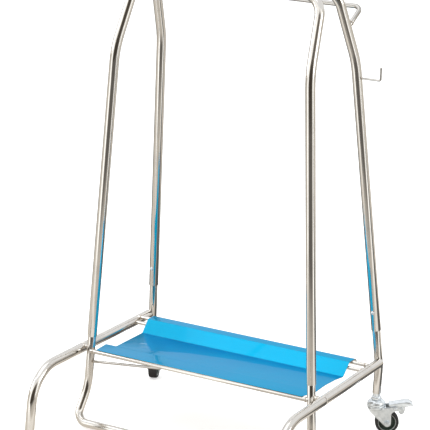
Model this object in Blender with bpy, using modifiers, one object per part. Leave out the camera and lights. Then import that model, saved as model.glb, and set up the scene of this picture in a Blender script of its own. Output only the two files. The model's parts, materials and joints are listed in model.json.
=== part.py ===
"""Linen trolley: two inverted-U tube frames that lean together, two side rails that bend down into
front legs, a front floor loop, a hinged sheet tray, a push handle, a side hook and two braked casters.

Run with: blender --background --python part.py
Metres, +Z up, floor at z = 0. The front faces -Y, and +X is the trolley's own right as seen from there.
"""

import math

import bmesh
import bpy
from mathutils import Matrix, Vector

MM = 0.001
GAP = 0.3 * MM

# Tube and rod sizes
TUBE_R = 10.0 * MM
TUBE_WALL = 1.0 * MM
LEG_R = 8.7 * MM
FRONT_ROD_R = 4.8 * MM
REAR_ROD_R = 4.0 * MM
GRIP_R = 4.8 * MM
BRACE_R = 2.8 * MM
HOOK_R = 2.0 * MM
SPACER_R = 4.0 * MM
TIE_R = 4.0 * MM

# Places, each (half width from the middle plane, y, z)
FRONT_SLEEVE = Vector((264.8, -116.5, 188.0)) * MM
FRONT_BEND = Vector((227.3, -70.0, 804.0)) * MM
FRONT_TOP_DIRECTION = Vector((-0.0887, 0.474, 1.0))
REAR_SLEEVE = Vector((276.0, 136.7, 227.0)) * MM
REAR_BEND = Vector((231.5, 108.0, 796.0)) * MM
REAR_TOP_DIRECTION = Vector((-0.117, -0.347, 1.0))
TOP_BAR_Z = (946.0 * MM, 950.0 * MM)
RAIL_Z = 157.0 * MM
RAIL_REAR = Vector((286.3, 134.5, 157.0)) * MM
RAIL_JOINT_Y = -114.0 * MM
RAIL_FRONT = Vector((292.4, -285.0, 157.0)) * MM
FOOT_END = Vector((293.6, -309.5, 6.5)) * MM
REAR_LEG_FOOT = Vector((281.0, 135.0, 88.5)) * MM
REAR_LEG_KNEE_Z = 148.0 * MM
LOOP_KNEE_Z = 76.0 * MM
LOOP_CORNER = Vector((275.0, -167.5, 10.9)) * MM

POST_BEND_R = 160.0 * MM
TOP_BEND_R = 45.0 * MM
RAIL_BEND_R = 82.0 * MM
LOOP_KNEE_R = 100.0 * MM
LOOP_CORNER_R = 27.0 * MM
SLEEVE_DEPTH = 52.0 * MM
JOINT_GAP = 2.0 * MM

# Tray and its rods, each rod as (y, z)
FRONT_ROD = (-123.8 * MM, 157.0 * MM)
HOOK_ROD = (88.2 * MM, 165.2 * MM)
UNDER_ROD = (70.7 * MM, 158.9 * MM)
SHEET = 1.2 * MM
TRAY_FRONT = (-127.5 * MM, 162.9 * MM)
TRAY_BASE = (46.4 * MM, 147.0 * MM)
TRAY_WALL_TOP = (72.8 * MM, 170.6 * MM)
TRAY_LIP_R = 12.0 * MM
TRAY_LIP_START_Y = 93.0 * MM

# Push handle and hook
HANDLE_X = 230.0 * MM
HANDLE_Z = 903.0 * MM
HANDLE_Y = 131.0 * MM
HANDLE_FOOT = Vector((227.0, 84.0, 872.0)) * MM
HOOK_Z = 763.0 * MM
HOOK_REACH_X = 287.0 * MM
HOOK_TIP_Z = 790.0 * MM

# Caster, in its own frame: stem axis at the origin, wheel trailing along +X, floor at z = 0
WHEEL_R = 25.0 * MM
WHEEL_HALF_WIDTH = 9.5 * MM
TRAIL = 22.6 * MM
FORK_OUTER = 13.6 * MM
FORK_INNER = 11.4 * MM
CROWN_Z = (54.9 * MM, 60.1 * MM)
SLOT_TOP = 52.7 * MM
PEDAL_PIVOT = (38.0 * MM, 57.4 * MM)
SHOE_RIVET = (51.6 * MM, 57.6 * MM)
KINGPIN_R = 5.2 * MM
AXLE_R = 2.9 * MM
RIVET_R = 2.2 * MM
CASTER_TURN = {"left": 112.0, "right": 32.0}

SIDES = {"left": -1.0, "right": 1.0}
ORIGIN_SHIFT = Vector((-15.94, 56.81, 0.0)) * MM


def clear_scene():
    for obj in list(bpy.data.objects):
        bpy.data.objects.remove(obj, do_unlink=True)


def new_collection(name):
    collection = bpy.data.collections.new(name)
    bpy.context.scene.collection.children.link(collection)
    return collection


def new_material(name, colour, roughness, metallic):
    material = bpy.data.materials.new(name)
    material.use_nodes = True
    shader = material.node_tree.nodes["Principled BSDF"]
    shader.inputs["Base Color"].default_value = (*colour, 1.0)
    shader.inputs["Roughness"].default_value = roughness
    shader.inputs["Metallic"].default_value = metallic
    return material


clear_scene()
PARTS = new_collection("linen_trolley")
CUTTERS = new_collection("cutters")
STAINLESS = new_material("stainless_tube", (0.66, 0.63, 0.58), 0.15, 1.0)
BLUE_FILM = new_material("blue_film_sheet", (0.02, 0.42, 0.78), 0.12, 0.0)
ZINC = new_material("zinc_plate", (0.74, 0.76, 0.77), 0.28, 1.0)
RUBBER = new_material("black_tyre", (0.025, 0.025, 0.025), 0.75, 0.0)
HUB_PLASTIC = new_material("hub_plastic", (0.09, 0.11, 0.10), 0.5, 0.0)
FOOT_RUBBER = new_material("foot_rubber", (0.04, 0.04, 0.04), 0.8, 0.0)


def mirrored(point, side):
    return Vector((point.x * side, point.y, point.z))


def link_object(name, data, material, collection=None):
    obj = bpy.data.objects.new(name, data)
    (collection or PARTS).objects.link(obj)
    if material is not None:
        data.materials.append(material)
    return obj


def shade_round(mesh, angle=40.0):
    mesh.shade_smooth()
    mesh.set_sharp_from_angle(angle=math.radians(angle))


def hide_cutter(obj):
    obj.hide_render = True
    obj.display_type = "WIRE"
    return obj


def filleted(corners, radii, step=12.0):
    """The corners' polyline with each inner corner rounded to its radius, as points along the arcs."""
    points = [corners[0]]
    for before, corner, after, radius in zip(corners, corners[1:], corners[2:], radii):
        arriving = (corner - before).normalized()
        leaving = (after - corner).normalized()
        turn = arriving.angle(leaving)
        tangent = radius * math.tan(turn / 2)
        centre_direction = (leaving - arriving).normalized()
        centre = corner + centre_direction * (radius / math.cos(turn / 2))
        spoke = corner - arriving * tangent - centre
        axis = arriving.cross(leaving).normalized()
        steps = max(2, round(math.degrees(turn) / step))
        for index in range(steps + 1):
            points.append(centre + Matrix.Rotation(turn * index / steps, 3, axis) @ spoke)
    points.append(corners[-1])
    return points


def swept_mesh(name, points, radius, resolution, capped):
    """A mesh swept along points with a round section of 4 + 2 * resolution sides."""
    curve = bpy.data.curves.new(name, "CURVE")
    curve.dimensions = "3D"
    curve.bevel_depth = radius
    curve.bevel_resolution = resolution
    curve.use_fill_caps = capped
    spline = curve.splines.new("POLY")
    spline.points.add(len(points) - 1)
    for spline_point, point in zip(spline.points, points):
        spline_point.co = (*point, 1.0)
    guide = bpy.data.objects.new(name + "_guide", curve)
    bpy.context.scene.collection.objects.link(guide)
    graph = bpy.context.evaluated_depsgraph_get()
    mesh = bpy.data.meshes.new_from_object(guide.evaluated_get(graph))
    bpy.data.objects.remove(guide, do_unlink=True)
    weld_mesh(mesh)
    mesh.name = name
    return mesh


def weld_mesh(mesh):
    cage = bmesh.new()
    cage.from_mesh(mesh)
    bmesh.ops.remove_doubles(cage, verts=cage.verts, dist=1e-6)
    cage.to_mesh(mesh)
    cage.free()


def solid_rod(name, points, radius, material, resolution=4):
    mesh = swept_mesh(name, points, radius, resolution, True)
    shade_round(mesh)
    return link_object(name, mesh, material)


def hollow_tube(name, points, radius, material, wall=TUBE_WALL, resolution=6):
    mesh = swept_mesh(name, points, radius, resolution, False)
    shade_round(mesh)
    tube = link_object(name, mesh, material)
    solidify = tube.modifiers.new("wall", "SOLIDIFY")
    solidify.thickness = wall
    solidify.offset = -1.0
    solidify.use_even_offset = False
    return tube


def tube_cutter(name, points, radius, resolution=6):
    """The outside of a tube grown by the working gap, for coping the ends of what is welded to it."""
    mesh = swept_mesh(name, points, radius + GAP, resolution, True)
    return hide_cutter(link_object(name, mesh, None, CUTTERS))


def cut(obj, cutter, operation="DIFFERENCE"):
    boolean = obj.modifiers.new(operation.lower() + "_" + cutter.name, "BOOLEAN")
    boolean.operation = operation
    boolean.object = cutter
    boolean.solver = "EXACT"


def box_cutter(name, low, high, parent=None):
    low = Vector(low)
    high = Vector(high)
    bpy.ops.mesh.primitive_cube_add(size=1.0, location=(low + high) / 2)
    box = bpy.context.object
    box.name = name
    box.scale = high - low
    bpy.ops.object.transform_apply(location=False, rotation=False, scale=True)
    move_to(box, CUTTERS)
    box.parent = parent
    return hide_cutter(box)


def pin_cutter(name, centre, direction, radius, length, parent=None, vertices=16):
    bpy.ops.mesh.primitive_cylinder_add(vertices=vertices, radius=radius, depth=length, location=centre)
    pin = bpy.context.object
    pin.name = name
    pin.rotation_mode = "QUATERNION"
    pin.rotation_quaternion = Vector(direction).to_track_quat("Z", "Y")
    move_to(pin, CUTTERS)
    pin.parent = parent
    return hide_cutter(pin)


def move_to(obj, collection):
    for owner in list(obj.users_collection):
        owner.objects.unlink(obj)
    collection.objects.link(obj)


def turned(name, profile, material, steps=24, closed=False, parent=None, along_y=False):
    """A profile of (radius, height) pairs turned about its axis; it runs down the outer side."""
    mesh = bpy.data.meshes.new(name)
    count = len(profile)
    edges = [(index, index + 1) for index in range(count - 1)]
    if closed:
        edges.append((count - 1, 0))
    mesh.from_pydata([(radius, 0.0, height) for radius, height in profile], edges, [])
    obj = link_object(name, mesh, material)
    screw = obj.modifiers.new("turn", "SCREW")
    screw.steps = steps
    screw.render_steps = steps
    screw.use_merge_vertices = True
    screw.merge_threshold = 0.00001
    screw.use_smooth_shade = True
    if along_y:
        obj.rotation_euler = (math.radians(90.0), 0.0, 0.0)
    obj.parent = parent
    return obj


def plate(name, outline, half_thickness, material, parent=None, upright=True, collection=None):
    """A flat outline, given as (along, up) pairs, extruded both ways; upright ones face +/-Y."""
    curve = bpy.data.curves.new(name, "CURVE")
    curve.dimensions = "2D"
    curve.fill_mode = "BOTH"
    curve.extrude = half_thickness
    spline = curve.splines.new("POLY")
    spline.points.add(len(outline) - 1)
    for spline_point, (along, up) in zip(spline.points, outline):
        spline_point.co = (along, up, 0.0, 1.0)
    spline.use_cyclic_u = True
    guide = bpy.data.objects.new(name + "_guide", curve)
    bpy.context.scene.collection.objects.link(guide)
    graph = bpy.context.evaluated_depsgraph_get()
    mesh = bpy.data.meshes.new_from_object(guide.evaluated_get(graph))
    bpy.data.objects.remove(guide, do_unlink=True)
    weld_mesh(mesh)
    if upright:
        mesh.transform(Matrix.Rotation(math.radians(90.0), 4, "X"))
    mesh.name = name
    obj = link_object(name, mesh, material, collection)
    obj.parent = parent
    return obj


def arc(centre, radius, start, end, steps):
    """Points on an arc between two angles in degrees, both ends included."""
    points = []
    for index in range(steps + 1):
        angle = math.radians(start + (end - start) * index / steps)
        points.append((centre[0] + radius * math.cos(angle), centre[1] + radius * math.sin(angle)))
    return points


def empty_at(name, location, turn=0.0, parent=None):
    empty = bpy.data.objects.new(name, None)
    PARTS.objects.link(empty)
    empty.location = location
    empty.rotation_euler = (0.0, 0.0, math.radians(turn))
    empty.parent = parent
    return empty


# Tube routes --------------------------------------------------------------------------------------


def along_to_height(start, direction, height):
    return start + direction * ((height - start.z) / direction.z)


def upper_frame_route(sleeve, bend, top_direction, bar_z):
    """An inverted U: up one post, over its bend, across the top bar and down the other post."""
    corner = along_to_height(bend, top_direction, bar_z)
    half = [sleeve, bend, corner]
    corners = [mirrored(point, -1.0) for point in half] + list(reversed(half))
    radii = [POST_BEND_R, TOP_BEND_R, TOP_BEND_R, POST_BEND_R]
    return filleted(corners, radii)


def front_loop_route():
    post_direction = (FRONT_BEND - FRONT_SLEEVE).normalized()
    top = FRONT_SLEEVE + post_direction * SLEEVE_DEPTH
    knee = along_to_height(FRONT_SLEEVE, post_direction, LOOP_KNEE_Z)
    half = [top, knee, LOOP_CORNER]
    corners = [mirrored(point, -1.0) for point in half] + list(reversed(half))
    radii = [LOOP_KNEE_R, LOOP_CORNER_R, LOOP_CORNER_R, LOOP_KNEE_R]
    return filleted(corners, radii)


def rear_leg_route(side):
    post_direction = (REAR_BEND - REAR_SLEEVE).normalized()
    top = REAR_SLEEVE + post_direction * SLEEVE_DEPTH
    knee = along_to_height(REAR_SLEEVE, post_direction, REAR_LEG_KNEE_Z)
    corners = [mirrored(point, side) for point in (REAR_LEG_FOOT, knee, top)]
    return filleted(corners, [120.0 * MM], step=3.0)


def rail_point(y, side):
    share = (y - RAIL_REAR.y) / (RAIL_FRONT.y - RAIL_REAR.y)
    return mirrored(RAIL_REAR.lerp(RAIL_FRONT, share), side)


def rail_route(side):
    return [rail_point(RAIL_REAR.y, side), rail_point(RAIL_JOINT_Y + JOINT_GAP, side)]


def front_leg_route(side):
    corners = [rail_point(RAIL_JOINT_Y, side), mirrored(RAIL_FRONT, side), mirrored(FOOT_END, side)]
    return filleted(corners, [RAIL_BEND_R], step=9.0)


# Frame ---------------------------------------------------------------------------------------------


def upper_frames():
    routes = {
        "front_upper_frame": upper_frame_route(
            FRONT_SLEEVE, FRONT_BEND, FRONT_TOP_DIRECTION, TOP_BAR_Z[0]
        ),
        "rear_upper_frame": upper_frame_route(
            REAR_SLEEVE, REAR_BEND, REAR_TOP_DIRECTION, TOP_BAR_Z[1]
        ),
    }
    tubes = {name: hollow_tube(name, route, TUBE_R, STAINLESS) for name, route in routes.items()}
    cutters = {name: tube_cutter(name + "_cope", route, TUBE_R) for name, route in routes.items()}
    return tubes, cutters


def lower_frame():
    loop_route = front_loop_route()
    tubes = {"front_lower_loop": hollow_tube("front_lower_loop", loop_route, LEG_R, STAINLESS)}
    cutters = {"front_lower_loop": tube_cutter("front_lower_loop_cope", loop_route, LEG_R)}
    for label, side in SIDES.items():
        leg_name = label + "_rear_leg"
        leg_route = rear_leg_route(side)
        tubes[leg_name] = hollow_tube(leg_name, leg_route, LEG_R, STAINLESS)
        cutters[leg_name] = tube_cutter(leg_name + "_cope", leg_route, LEG_R)
        rail_name = label + "_rail"
        tubes[rail_name] = hollow_tube(rail_name, rail_route(side), TUBE_R, STAINLESS)
        cutters[rail_name] = tube_cutter(rail_name + "_cope", rail_route(side), TUBE_R)
        cut(tubes[rail_name], cutters[leg_name])
        front_name = label + "_front_leg"
        front_route = front_leg_route(side)
        tubes[front_name] = hollow_tube(front_name, front_route, TUBE_R, STAINLESS)
        cutters[front_name] = tube_cutter(front_name + "_cope", front_route, TUBE_R)
    return tubes, cutters


def rail_spigots():
    """The short inner tube that joins a rail to its front leg, seen only in the joint's gap."""
    reach = 28.0 * MM
    for label, side in SIDES.items():
        ends = [rail_point(RAIL_JOINT_Y + reach, side), rail_point(RAIL_JOINT_Y - reach, side)]
        hollow_tube(label + "_rail_spigot", ends, LEG_R, STAINLESS)


def foot_caps():
    height = 26.0 * MM
    outer = 12.8 * MM
    seat = 5.0 * MM
    bore = TUBE_R + GAP
    for label, side in SIDES.items():
        foot = mirrored(FOOT_END, side)
        direction = (mirrored(RAIL_FRONT, side) - foot).normalized()
        profile = [
            (0.0, -GAP),
            (bore, -GAP),
            (bore, height - seat),
            (outer - 1.2 * MM, height - seat),
            (outer, height - seat - 1.5 * MM),
            (outer, -seat - 4.0 * MM),
            (0.0, -seat - 4.0 * MM),
        ]
        cap = turned(label + "_foot_cap", profile, FOOT_RUBBER)
        cap.location = foot
        cap.rotation_mode = "QUATERNION"
        cap.rotation_quaternion = direction.to_track_quat("Z", "Y")
        low = (foot.x - 30.0 * MM, foot.y - 30.0 * MM, -40.0 * MM)
        high = (foot.x + 30.0 * MM, foot.y + 30.0 * MM, 0.0)
        cut(cap, box_cutter(label + "_floor_trim", low, high))


def cross_rod(name, height_and_depth, half_length, radius):
    y, z = height_and_depth
    return solid_rod(name, [Vector((-half_length, y, z)), Vector((half_length, y, z))], radius, STAINLESS)


def tray_rods(cutters):
    front = cross_rod("front_tray_rod", FRONT_ROD, 266.0 * MM, FRONT_ROD_R)
    cut(front, cutters["front_lower_loop"])
    for name, place in (("rear_hook_rod", HOOK_ROD), ("rear_under_rod", UNDER_ROD)):
        rod = cross_rod(name, place, 286.5 * MM, REAR_ROD_R)
        for label in SIDES:
            cut(rod, cutters[label + "_rail"])
    start = Vector((-268.5 * MM, FRONT_ROD[0] + 1.0 * MM, 132.5 * MM))
    end = Vector((-88.0 * MM, FRONT_ROD[0], 152.6 * MM))
    brace = solid_rod("front_left_brace", [start, end], BRACE_R, STAINLESS, resolution=3)
    cut(brace, cutters["front_lower_loop"])
    rod_cope = [Vector((-200.0 * MM, *FRONT_ROD)), Vector((0.0, *FRONT_ROD))]
    cut(brace, tube_cutter("front_tray_rod_cope", rod_cope, FRONT_ROD_R))


def post_spacers(cutters):
    """The short bars that join the front posts to the front legs where they pass each other."""
    y = -118.8 * MM
    z = RAIL_Z + 6.0 * MM
    for label, side in SIDES.items():
        ends = [Vector((266.5 * MM * side, y, z)), Vector((289.8 * MM * side, y, z))]
        spacer = solid_rod(label + "_post_spacer", ends, SPACER_R, STAINLESS)
        cut(spacer, cutters["front_lower_loop"])
        cut(spacer, cutters[label + "_front_leg"])


def top_ties(cutters):
    y_front = along_to_height(FRONT_BEND, FRONT_TOP_DIRECTION, TOP_BAR_Z[0]).y
    y_rear = along_to_height(REAR_BEND, REAR_TOP_DIRECTION, TOP_BAR_Z[1]).y
    for label, side in SIDES.items():
        x = 120.0 * MM * side
        ends = [Vector((x, y_front, TOP_BAR_Z[0])), Vector((x, y_rear, TOP_BAR_Z[1]))]
        tie = solid_rod(label + "_top_tie", ends, TIE_R, STAINLESS)
        cut(tie, cutters["front_upper_frame"])
        cut(tie, cutters["rear_upper_frame"])


def push_handle(cutters):
    arm = Vector((HANDLE_X, HANDLE_Y, HANDLE_Z))
    half = [HANDLE_FOOT, arm]
    corners = [mirrored(point, -1.0) for point in half] + list(reversed(half))
    route = filleted(corners, [15.0 * MM, 15.0 * MM])
    handle = solid_rod("push_handle", route, GRIP_R, STAINLESS)
    cut(handle, cutters["rear_upper_frame"])


def bag_hook(cutters):
    post_direction = REAR_BEND - REAR_SLEEVE
    start = along_to_height(REAR_SLEEVE, post_direction, HOOK_Z)
    corners = [
        start,
        Vector((HOOK_REACH_X, start.y, HOOK_Z)),
        Vector((HOOK_REACH_X + 0.5 * MM, start.y, HOOK_TIP_Z)),
    ]
    hook = solid_rod("side_hook", filleted(corners, [4.5 * MM], step=18.0), HOOK_R, STAINLESS, 2)
    cut(hook, cutters["rear_upper_frame"])


def post_screws(tubes):
    """Dome-head screws through each sleeve joint, facing inwards along the trolley."""
    height = 40.0 * MM
    hole_r = 2.4 * MM
    shank_r = 2.0 * MM
    posts = (
        ("front", FRONT_SLEEVE, FRONT_BEND, 1.0, "front_lower_loop"),
        ("rear", REAR_SLEEVE, REAR_BEND, -1.0, None),
    )
    for end, sleeve, bend, facing, shared_lower in posts:
        direction = (bend - sleeve).normalized()
        for label, side in SIDES.items():
            centre = mirrored(sleeve + direction * height, side)
            outward = Vector((0.0, facing, 0.0))
            name = end + "_" + label + "_post_screw"
            profile = [
                (0.0, TUBE_R + 2.9 * MM),
                (1.6 * MM, TUBE_R + 2.7 * MM),
                (3.2 * MM, TUBE_R + 1.9 * MM),
                (4.2 * MM, TUBE_R + GAP),
                (shank_r, TUBE_R + GAP),
                (shank_r, 4.0 * MM),
                (0.0, 4.0 * MM),
            ]
            screw = turned(name, profile, ZINC, steps=12)
            screw.location = centre
            screw.rotation_mode = "QUATERNION"
            screw.rotation_quaternion = outward.to_track_quat("Z", "Y")
            hole = pin_cutter(
                name + "_hole", centre + outward * 8.0 * MM, outward, hole_r, 12.0 * MM, vertices=12
            )
            cut(tubes[end + "_upper_frame"], hole)
            cut(tubes[shared_lower or label + "_rear_leg"], hole)


# Tray ----------------------------------------------------------------------------------------------


def tray_profile():
    """The sheet's upper line from the front edge to the end of its rolled lip, as (y, z)."""
    corners = [
        Vector((*TRAY_FRONT, 0.0)),
        Vector((*TRAY_BASE, 0.0)),
        Vector((*TRAY_WALL_TOP, 0.0)),
        Vector((TRAY_LIP_START_Y, TRAY_WALL_TOP[1], 0.0)),
    ]
    points = [(point.x, point.y) for point in filleted(corners, [5.0 * MM, 2.5 * MM], step=12.0)]
    lip_centre = (TRAY_LIP_START_Y, TRAY_WALL_TOP[1] - TRAY_LIP_R)
    points += arc(lip_centre, TRAY_LIP_R, 90.0, -10.0, 6)[1:]
    return points


def tray():
    hinge = empty_at("tray_hinge", (0.0, *HOOK_ROD))
    profile = tray_profile()
    count = len(profile)
    half = 275.0 * MM
    points = []
    for x in (-half, half):
        points += [(x, y - HOOK_ROD[0], z - HOOK_ROD[1]) for y, z in profile]
    faces = [(index, count + index, count + index + 1, index + 1) for index in range(count - 1)]
    mesh = bpy.data.meshes.new("tray")
    mesh.from_pydata(points, [], faces)
    sheet = link_object("tray", mesh, BLUE_FILM)
    sheet.parent = hinge
    solidify = sheet.modifiers.new("sheet", "SOLIDIFY")
    solidify.thickness = SHEET
    solidify.offset = 0.0
    solidify.use_even_offset = True
    left = [(-247, -140), (-247, -127), (-257, -77), (-231, -77), (-247, 46), (-249, 74), (-249, 130)]
    right = [(250, -140), (250, -127), (256, -79), (249, -31), (246.5, 18), (249, 47), (249, 130)]
    for label, edge in (("left", left), ("right", right)):
        side = SIDES[label]
        outline = [(x * MM, y * MM) for x, y in edge]
        outline += [(320.0 * MM * side, 130.0 * MM), (320.0 * MM * side, -140.0 * MM)]
        trim = plate("tray_" + label + "_trim", outline, 60.0 * MM, None, None, False, CUTTERS)
        trim.location = (0.0, 0.0, RAIL_Z)
        hide_cutter(trim)
        cut(sheet, trim)


# Casters -------------------------------------------------------------------------------------------


def caster_stem(label, base):
    top = REAR_LEG_FOOT.z
    collar_z = 75.0 * MM
    profile = [
        (0.0, top + 21.0 * MM),
        (5.0 * MM, top + 21.0 * MM),
        (5.6 * MM, top + 20.0 * MM),
        (5.6 * MM, top + 3.5 * MM),
        (7.1 * MM, top + 3.5 * MM),
        (7.1 * MM, top - 6.0 * MM),
        (9.2 * MM, top - 6.6 * MM),
        (10.6 * MM, top - 8.6 * MM),
        (10.6 * MM, collar_z),
        (KINGPIN_R, collar_z),
        (KINGPIN_R, SLOT_TOP - GAP),
        (8.0 * MM, SLOT_TOP - GAP),
        (7.2 * MM, SLOT_TOP - 2.0 * MM),
        (0.0, SLOT_TOP - 2.3 * MM),
    ]
    turned(label + "_caster_stem", profile, ZINC, steps=16, parent=base)


def caster_cup(label, base):
    bore = KINGPIN_R / MM + 0.3
    outer = [(bore, 74.7), (10.6, 74.7), (14.2, 73.5), (17.2, 70.9), (18.9, 67.3), (18.9, 64.3)]
    outer += [(18.2, 63.6), (19.1, 62.7), (19.1, 60.4)]
    inner = [(17.2, 60.4), (17.2, 66.7), (15.6, 69.7), (13.2, 71.6), (10.2, 72.7), (bore, 72.7)]
    profile = [(radius * MM, height * MM) for radius, height in outer + inner]
    turned(label + "_caster_cup", profile, ZINC, steps=20, closed=True, parent=base)


def ball_ring(label, swivel):
    centre = (12.4 * MM, 63.7 * MM)
    profile = arc(centre, 3.0 * MM, 90.0, -225.0, 7)
    turned(label + "_ball_ring", profile, ZINC, steps=16, closed=True, parent=swivel)


def fork_outline():
    axle = (TRAIL, WHEEL_R)
    boss_r = 7.7 * MM
    heel = (-15.0 * MM, SLOT_TOP + 0.2 * MM)
    to_axle = Vector((axle[0] - heel[0], axle[1] - heel[1]))
    tangent = math.degrees(math.atan2(to_axle.y, to_axle.x) - math.asin(boss_r / to_axle.length))
    top = CROWN_Z[1] - 0.1 * MM
    points = [(heel[0], top), heel]
    points += arc(axle, boss_r, tangent - 90.0, 0.0, 7)
    points += [(axle[0] + boss_r, 43.0 * MM), (axle[0] + boss_r + 1.5 * MM, 48.0 * MM)]
    points += arc(PEDAL_PIVOT, 5.1 * MM, -90.0, 90.0, 6)
    points += [(24.0 * MM, top)]
    return points


def fork(label, swivel):
    body = plate(label + "_fork", fork_outline(), FORK_OUTER, ZINC, swivel)
    crown_r = 18.4 * MM
    bevel = 1.4 * MM
    crown_profile = [
        (0.0, CROWN_Z[1]),
        (crown_r, CROWN_Z[1]),
        (crown_r, CROWN_Z[0] + bevel),
        (crown_r - bevel, CROWN_Z[0]),
        (0.0, CROWN_Z[0]),
    ]
    crown = turned(label + "_crown", crown_profile, None, steps=20, parent=swivel)
    move_to(crown, CUTTERS)
    hide_cutter(crown)
    cut(body, crown, "UNION")
    wheel_low = (-30.0 * MM, -FORK_INNER, -5.0 * MM)
    cut(body, box_cutter(label + "_wheel_slot", wheel_low, (60.0 * MM, FORK_INNER, SLOT_TOP), swivel))
    pedal_low = (19.6 * MM, -FORK_INNER, 0.0)
    cut(body, box_cutter(label + "_pedal_slot", pedal_low, (60.0 * MM, FORK_INNER, 80.0 * MM), swivel))
    across = (0.0, 1.0, 0.0)
    axle = Vector((TRAIL, 0.0, WHEEL_R))
    cut(body, pin_cutter(label + "_axle_hole", axle, across, AXLE_R + GAP, 60.0 * MM, swivel))
    pivot = Vector((PEDAL_PIVOT[0], 0.0, PEDAL_PIVOT[1]))
    cut(body, pin_cutter(label + "_pivot_hole", pivot, across, RIVET_R + GAP, 60.0 * MM, swivel))
    king = Vector((0.0, 0.0, 58.0 * MM))
    cut(body, pin_cutter(label + "_king_hole", king, (0, 0, 1), KINGPIN_R + GAP, 30.0 * MM, swivel))


def axle_bolt(label, swivel):
    face = FORK_OUTER + GAP
    profile = [
        (0.0, face + 4.2 * MM),
        (4.4 * MM, face + 4.2 * MM),
        (5.2 * MM, face + 3.4 * MM),
        (5.2 * MM, face),
        (AXLE_R, face),
        (AXLE_R, -face - 5.5 * MM),
        (0.0, -face - 5.5 * MM),
    ]
    bolt = turned(label + "_axle_bolt", profile, ZINC, steps=12, parent=swivel, along_y=True)
    bolt.location = (TRAIL, 0.0, WHEEL_R)
    bolt.rotation_euler = (math.radians(-90.0), 0.0, 0.0)


def axle_nut(label, swivel):
    bpy.ops.mesh.primitive_cylinder_add(vertices=6, radius=5.6 * MM, depth=4.2 * MM)
    nut = bpy.context.object
    nut.name = label + "_axle_nut"
    nut.data.name = nut.name
    nut.data.materials.append(ZINC)
    move_to(nut, PARTS)
    nut.parent = swivel
    nut.location = (TRAIL, -FORK_OUTER - GAP - 2.1 * MM, WHEEL_R)
    nut.rotation_euler = (math.radians(90.0), 0.0, 0.0)
    bore = pin_cutter(
        label + "_nut_bore", (TRAIL, -FORK_OUTER, WHEEL_R), (0, 1, 0), AXLE_R + GAP, 30.0 * MM, swivel
    )
    cut(nut, bore)


def wheel(label, wheel_empty):
    bore = AXLE_R + GAP
    rim_r = 18.9
    hub_half = [(6.2, 10.6), (6.8, 3.6), (15.6, 3.2), (16.6, 7.6), (rim_r, 8.0)]
    outside = [(radius, height) for radius, height in hub_half]
    outside += [(radius, -height) for radius, height in reversed(hub_half)]
    profile = [(bore, 10.6 * MM)] + [(r * MM, h * MM) for r, h in outside] + [(bore, -10.6 * MM)]
    turned(label + "_wheel_hub", profile, HUB_PLASTIC, 20, closed=True, parent=wheel_empty, along_y=True)
    inner = rim_r + 0.3
    section = [(inner, 8.6), (21.4, 9.5), (23.6, 8.9), (24.8, 6.2), (25.0, 2.2)]
    ring = section + [(radius, -height) for radius, height in reversed(section)]
    tyre_profile = [(r * MM, h * MM) for r, h in ring]
    turned(label + "_tyre", tyre_profile, RUBBER, 28, closed=True, parent=wheel_empty, along_y=True)


def pedal_outline():
    """The brake pedal's side view about its pivot: tread plate, cheeks and brake shoe."""
    tread = [(26, 65.6), (45, 69), (63, 71.6), (68, 71), (76, 65.5), (76.4, 63), (68, 62.5), (60, 60.5)]
    shoe = [(59.4, 55), (57.5, 48.5), (54, 45), (50.5, 44.6), (47.5, 46.8), (45.6, 51.5)]
    heel = [(36, 52.4), (33, 57.5), (31, 62), (26, 63.4)]
    pivot_x, pivot_z = PEDAL_PIVOT
    points = tread + shoe + heel
    return [(along * MM - pivot_x, up * MM - pivot_z) for along, up in reversed(points)]


def brake_pedal(label, pedal_empty):
    half = 10.8 * MM
    cheek = 2.2 * MM
    pedal = plate(label + "_brake_pedal", pedal_outline(), half, ZINC, pedal_empty)
    low = (-20.0 * MM, cheek - half, -20.0 * MM)
    high = (3.4 * MM, half - cheek, 5.2 * MM)
    cut(pedal, box_cutter(label + "_pedal_hollow", low, high, pedal_empty))
    across = (0.0, 1.0, 0.0)
    shoe = (SHOE_RIVET[0] - PEDAL_PIVOT[0], 0.0, SHOE_RIVET[1] - PEDAL_PIVOT[1])
    bore = RIVET_R + GAP
    cut(pedal, pin_cutter(label + "_pedal_bore", (0, 0, 0), across, bore, 60.0 * MM, pedal_empty))
    cut(pedal, pin_cutter(label + "_shoe_bore", shoe, across, bore, 60.0 * MM, pedal_empty))
    rivet(label + "_shoe_rivet", half + GAP, shoe, pedal_empty)


def rivet(name, face, place, parent):
    half = [(0.0, face + 1.6 * MM), (2.6 * MM, face + 1.2 * MM), (3.4 * MM, face), (RIVET_R, face)]
    profile = half + [(radius, -height) for radius, height in reversed(half)]
    pin = turned(name, profile, ZINC, steps=12, parent=parent, along_y=True)
    pin.location = place


def casters():
    for label, side in SIDES.items():
        stem_axis = Vector((REAR_LEG_FOOT.x * side, REAR_LEG_FOOT.y, 0.0))
        base = empty_at(label + "_caster_base", stem_axis)
        swivel = empty_at(label + "_swivel_axis", stem_axis, CASTER_TURN[label])
        wheel_empty = empty_at(label + "_wheel_axis", (TRAIL, 0.0, WHEEL_R), parent=swivel)
        pedal_empty = empty_at(
            label + "_pedal_axis", (PEDAL_PIVOT[0], 0.0, PEDAL_PIVOT[1]), parent=swivel
        )
        caster_stem(label, base)
        caster_cup(label, base)
        ball_ring(label, swivel)
        fork(label, swivel)
        axle_bolt(label, swivel)
        axle_nut(label, swivel)
        wheel(label, wheel_empty)
        brake_pedal(label, pedal_empty)
        pivot = (PEDAL_PIVOT[0], 0.0, PEDAL_PIVOT[1])
        rivet(label + "_pedal_rivet", FORK_OUTER + GAP, pivot, swivel)


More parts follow.
